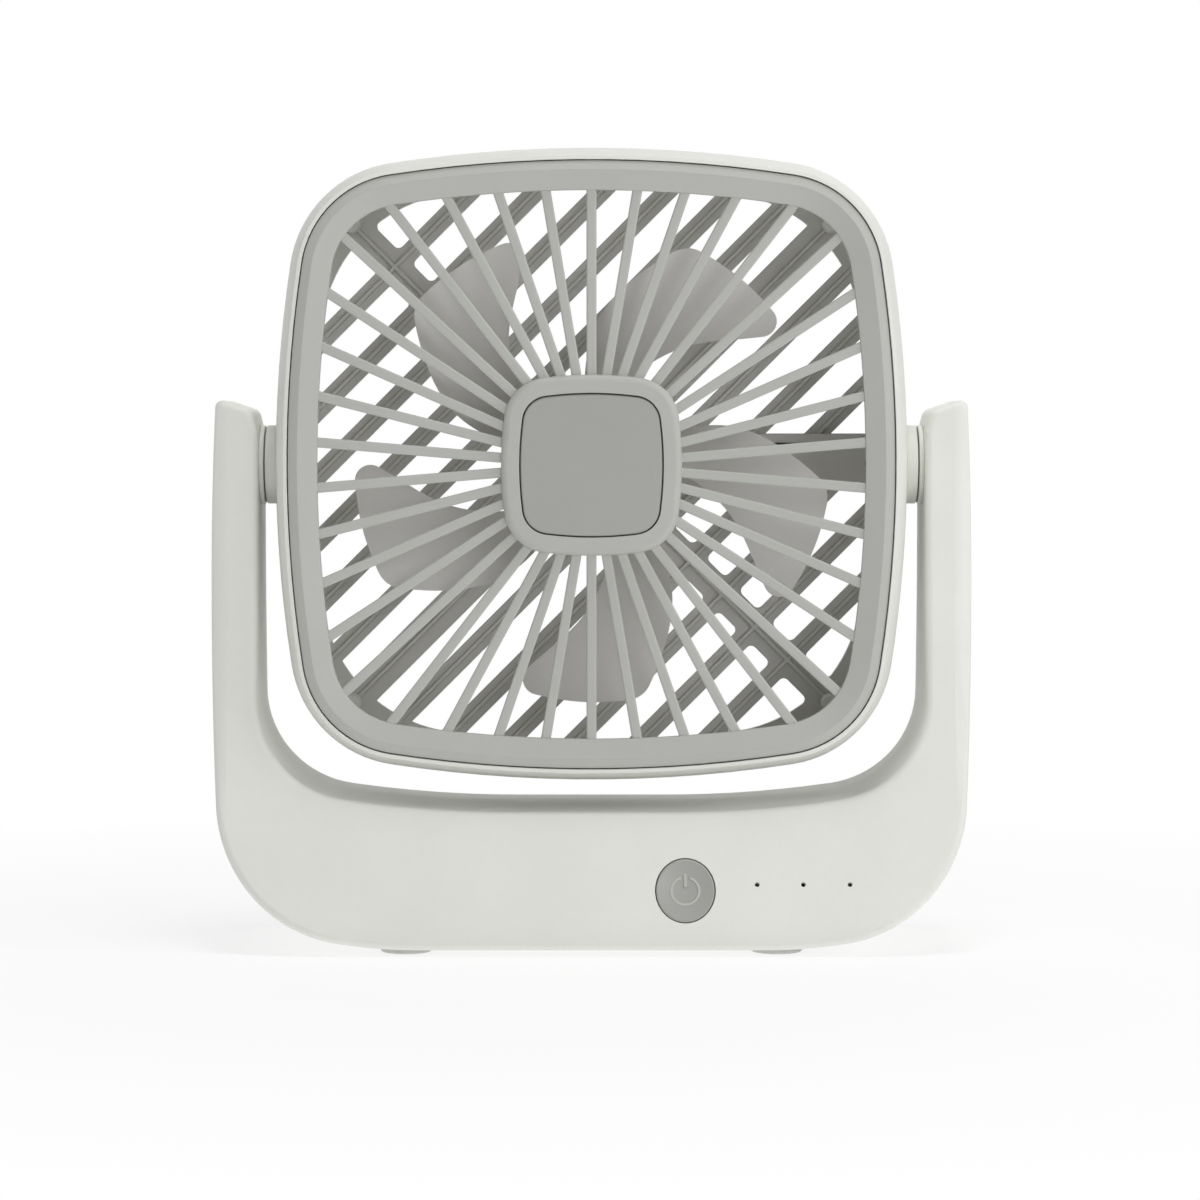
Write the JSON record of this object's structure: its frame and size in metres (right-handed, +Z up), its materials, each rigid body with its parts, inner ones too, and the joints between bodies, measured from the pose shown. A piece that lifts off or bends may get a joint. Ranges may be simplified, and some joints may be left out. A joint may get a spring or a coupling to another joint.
{
  "type": "rechargeable desk fan",
  "caption": "Square-headed rechargeable desk fan: grilled head with a swept impeller, tilting between the arms of a U-shaped base with a power button.",
  "frame": {"origin": "on the ground under the middle of the base, which is also under the head's tilt axis", "axes": "+Z up, -Y towards the front (the side the air leaves), +X to the right seen from the front"},
  "size_m": [0.1654, 0.058, 0.174],
  "materials": {
    "shell_white": "fine matte moulded texture, warm off-white",
    "grille_grey": "fine matte moulded texture, warm light grey",
    "vent_grey": "matte moulded plastic, warm mid grey",
    "blade_grey": "smooth matte moulded plastic, grey",
    "button_grey": "satin moulded plastic, grey",
    "foot_rubber": "soft grey rubber",
    "steel": "bright zinc-plated steel",
    "motor_steel": "drawn steel can",
    "brass": "sintered bearing bronze and brass",
    "copper": "enamelled copper",
    "magnet": "sintered ferrite",
    "board_green": "soldermasked circuit board",
    "dark_plastic": "dark moulded plastic",
    "natural_plastic": "natural nylon",
    "lamp_clear": "clear lamp body",
    "cell_wrap": "shrink-wrapped cell",
    "lead_grey": "soft lead jacket"
  },
  "bodies": {
    "base": {"base_front_shell": "shell_white", "base_rear_shell": "shell_white", "foot_front_left": "foot_rubber", "foot_front_right": "foot_rubber", "foot_rear_left": "foot_rubber", "foot_rear_right": "foot_rubber", "base_screws": "steel", "battery_cells": "cell_wrap", "nickel_strips": "steel", "battery_tray": "dark_plastic", "control_board": "board_green", "tact_switch": "dark_plastic", "status_lamps": "lamp_clear", "board_screws": "steel", "charge_board": "board_green", "usb_c_socket": "steel", "pivot_bush_left": "shell_white", "pivot_bush_right": "shell_white", "friction_washer_left": "steel", "friction_washer_right": "steel", "base_lead": "lead_grey", "battery_lead": "lead_grey", "board_lead": "lead_grey"},
    "head": {"head_shell": "shell_white", "front_grille": "grille_grey", "hub_cap": "grille_grey", "rear_grille": "vent_grey", "wire_duct_cover": "vent_grey", "motor_cover": "vent_grey", "motor_can": "motor_steel", "motor_end_bell": "natural_plastic", "motor_magnets": "magnet", "motor_brushes": "copper", "shaft_bush_front": "brass", "shaft_bush_rear": "brass", "motor_screws": "steel", "grille_screws": "steel", "pivot_axle_left": "natural_plastic", "pivot_axle_right": "natural_plastic", "axle_retainer_left": "steel", "axle_retainer_right": "steel", "head_lead": "lead_grey"},
    "impeller": {"impeller": "blade_grey", "motor_shaft": "steel", "armature": "motor_steel", "armature_coils": "copper", "commutator": "copper"},
    "button": {"power_button": "button_grey", "switch_plunger": "natural_plastic"}
  },
  "joints": [
    {"name": "head_tilt", "type": "hinge", "parent": "base", "child": "head", "pos_m": [0, 0, 0.105], "axis": [1, 0, 0], "range_deg": [-90, 90]},
    {"name": "impeller_spin", "type": "hinge", "parent": "head", "child": "impeller", "pos_m": [0, 0, 0.105], "axis": [0, 1, 0], "continuous": true},
    {"name": "power_button_press", "type": "slide", "parent": "base", "child": "button", "axis": [0, 0.9563, -0.2924], "range_m": [0, 0.0006], "stiffness_N_per_m": 800, "springref_m": -0.0008}
  ]
}
